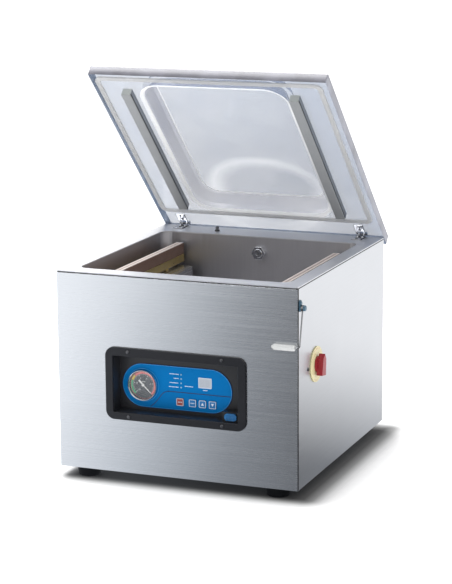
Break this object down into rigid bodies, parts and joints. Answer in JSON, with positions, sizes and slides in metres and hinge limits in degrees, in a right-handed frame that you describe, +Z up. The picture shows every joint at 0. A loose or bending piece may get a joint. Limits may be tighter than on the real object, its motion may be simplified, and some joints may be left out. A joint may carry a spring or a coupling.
{
  "type": "chamber vacuum packing machine",
  "caption": "Tabletop chamber vacuum packer: steel cabinet, sunk chamber with lifting seal bars, clear domed hinged lid and recessed control panel.",
  "frame": {"origin": "on the floor, midway between the four feet", "axes": "+X to the right seen from the front, +Y to the rear, +Z up"},
  "size_m": [0.5178, 0.5864, 0.7976],
  "materials": {
    "front_panel": "horizontally brushed stainless sheet",
    "left_side_panel": "brushed stainless sheet",
    "right_side_panel": "brushed stainless sheet",
    "rear_panel": "brushed stainless sheet with vent slots",
    "base_pan": "galvanised sheet",
    "deck_plate": "satin stainless deck",
    "vacuum_chamber": "satin drawn stainless",
    "feet": "moulded black rubber",
    "foot_bolts": "zinc plated",
    "panel_bezel": "fine-grained black ABS",
    "bezel_screws": "black oxide screws",
    "panel_tray": "black ABS tray",
    "control_overlay": "printed blue membrane",
    "display_window": "grey display filter",
    "status_leds": "clear LED lenses",
    "control_board": "green circuit board",
    "gauge_case": "black gauge case",
    "gauge_dial": "printed dial",
    "gauge_pointer": "white painted needle",
    "gauge_lens": "clear gauge window",
    "stop_key": "red membrane key",
    "set_key": "blue membrane key",
    "up_key": "blue membrane key",
    "down_key": "blue membrane key",
    "tray_latch": "blue ribbed plastic",
    "switch_plate": "pale yellow plastic disc",
    "switch_knob": "red plastic handle",
    "switch_screws": "dark screws",
    "switch_body": "black switch housing",
    "lid_shell": "clear thermoformed acrylic",
    "lid_gasket": "off-white silicone",
    "counter_bars": "satin aluminium channel",
    "counter_pads": "grey silicone strip",
    "hinge_bases": "chromed steel",
    "hinge_leaves": "chromed steel",
    "hinge_pins": "polished pin",
    "hinge_springs": "spring steel",
    "stop_bumpers": "black rubber",
    "lid_plunger": "stainless plunger",
    "plunger_bush": "dark bush",
    "lid_microswitch": "black microswitch",
    "latch_bail": "bright steel wire",
    "bail_sleeve": "white plastic sleeve",
    "bail_pivot": "dark blue cap bolt",
    "port_fitting": "hexagonal stainless fitting",
    "left_seal_bar": "brown laminate bar",
    "right_seal_bar": "brown laminate bar",
    "left_heater_strip": "PTFE-covered heating strip",
    "right_heater_strip": "PTFE-covered heating strip",
    "left_bar_carrier": "gold anodised channel",
    "right_bar_carrier": "gold anodised channel",
    "bladder_housings": "stainless covers",
    "pump_body": "painted cast pump block",
    "pump_motor": "finned motor",
    "exhaust_filter": "painted canister",
    "transformer": "laminated core",
    "solenoid_valve": "brass valve",
    "vacuum_hose": "reinforced hose",
    "mains_gland": "black nylon gland",
    "panel_screws": "stainless screws"
  },
  "bodies": {
    "cabinet": {"front_panel": "front_panel", "left_side_panel": "left_side_panel", "right_side_panel": "right_side_panel", "rear_panel": "rear_panel", "base_pan": "base_pan", "deck_plate": "deck_plate", "vacuum_chamber": "vacuum_chamber", "feet": "feet", "foot_bolts": "foot_bolts", "panel_bezel": "panel_bezel", "bezel_screws": "bezel_screws", "panel_tray": "panel_tray", "control_overlay": "control_overlay", "display_window": "display_window", "status_leds": "status_leds", "control_board": "control_board", "gauge_case": "gauge_case", "gauge_dial": "gauge_dial", "gauge_lens": "gauge_lens", "switch_plate": "switch_plate", "switch_screws": "switch_screws", "switch_body": "switch_body", "hinge_bases": "hinge_bases", "hinge_pins": "hinge_pins", "hinge_springs": "hinge_springs", "stop_bumpers": "stop_bumpers", "plunger_bush": "plunger_bush", "lid_microswitch": "lid_microswitch", "bail_pivot": "bail_pivot", "port_fitting": "port_fitting", "bladder_housings": "bladder_housings", "pump_body": "pump_body", "pump_motor": "pump_motor", "exhaust_filter": "exhaust_filter", "transformer": "transformer", "solenoid_valve": "solenoid_valve", "vacuum_hose": "vacuum_hose", "mains_gland": "mains_gland", "panel_screws": "panel_screws"},
    "lid": {"lid_shell": "lid_shell", "lid_gasket": "lid_gasket", "counter_bars": "counter_bars", "counter_pads": "counter_pads", "hinge_leaves": "hinge_leaves"},
    "bail": {"latch_bail": "latch_bail", "bail_sleeve": "bail_sleeve"},
    "knob": {"switch_knob": "switch_knob"},
    "pointer": {"gauge_pointer": "gauge_pointer"},
    "stop_button": {"stop_key": "stop_key"},
    "set_button": {"set_key": "set_key"},
    "up_button": {"up_key": "up_key"},
    "down_button": {"down_key": "down_key"},
    "latch": {"tray_latch": "tray_latch"},
    "plunger": {"lid_plunger": "lid_plunger"},
    "left_sealer": {"left_seal_bar": "left_seal_bar", "left_heater_strip": "left_heater_strip", "left_bar_carrier": "left_bar_carrier"},
    "right_sealer": {"right_seal_bar": "right_seal_bar", "right_heater_strip": "right_heater_strip", "right_bar_carrier": "right_bar_carrier"}
  },
  "joints": [
    {"name": "lid_hinge", "type": "hinge", "parent": "cabinet", "child": "lid", "pos_m": [0, 0.2676, 0.4225], "axis": [1, 0, 0], "range_deg": [0, 43.82], "stiffness_Nm_per_rad": 14, "springref_deg": -63.03},
    {"name": "bail_swing", "type": "hinge", "parent": "cabinet", "child": "bail", "pos_m": [0.256, -0.258, 0.376], "axis": [-1, 0, 0], "range_deg": [0, 186]},
    {"name": "switch_turn", "type": "hinge", "parent": "cabinet", "child": "knob", "pos_m": [0.252, -0.165, 0.246], "axis": [1, 0, 0], "range_deg": [0, 90]},
    {"name": "gauge_needle", "type": "hinge", "parent": "cabinet", "child": "pointer", "pos_m": [-0.0807, -0.242, 0.1933], "axis": [0, -1, 0], "range_deg": [0, 270]},
    {"name": "stop_press", "type": "slide", "parent": "cabinet", "child": "stop_button", "axis": [0, 1, 0], "range_m": [0, 0.0006], "stiffness_N_per_m": 400},
    {"name": "set_press", "type": "slide", "parent": "cabinet", "child": "set_button", "axis": [0, 1, 0], "range_m": [0, 0.0006], "stiffness_N_per_m": 400},
    {"name": "up_press", "type": "slide", "parent": "cabinet", "child": "up_button", "axis": [0, 1, 0], "range_m": [0, 0.0006], "stiffness_N_per_m": 400},
    {"name": "down_press", "type": "slide", "parent": "cabinet", "child": "down_button", "axis": [0, 1, 0], "range_m": [0, 0.0006], "stiffness_N_per_m": 400},
    {"name": "latch_slide", "type": "slide", "parent": "cabinet", "child": "latch", "axis": [-1, 0, 0], "range_m": [0, 0.006]},
    {"name": "plunger_slide", "type": "slide", "parent": "cabinet", "child": "plunger", "axis": [0, 0, -1], "range_m": [0, 0.0065], "stiffness_N_per_m": 200, "springref_m": -0.002},
    {"name": "left_bar_lift", "type": "slide", "parent": "cabinet", "child": "left_sealer", "axis": [0, 0, 1], "range_m": [0, 0.009]},
    {"name": "right_bar_lift", "type": "slide", "parent": "cabinet", "child": "right_sealer", "axis": [0, 0, 1], "range_m": [0, 0.009]}
  ],
  "couplings": [
    {"joint": "plunger_slide", "follows": "lid_hinge", "m_per_rad": 0.0084858},
    {"joint": "right_bar_lift", "follows": "left_bar_lift", "ratio": 1}
  ]
}
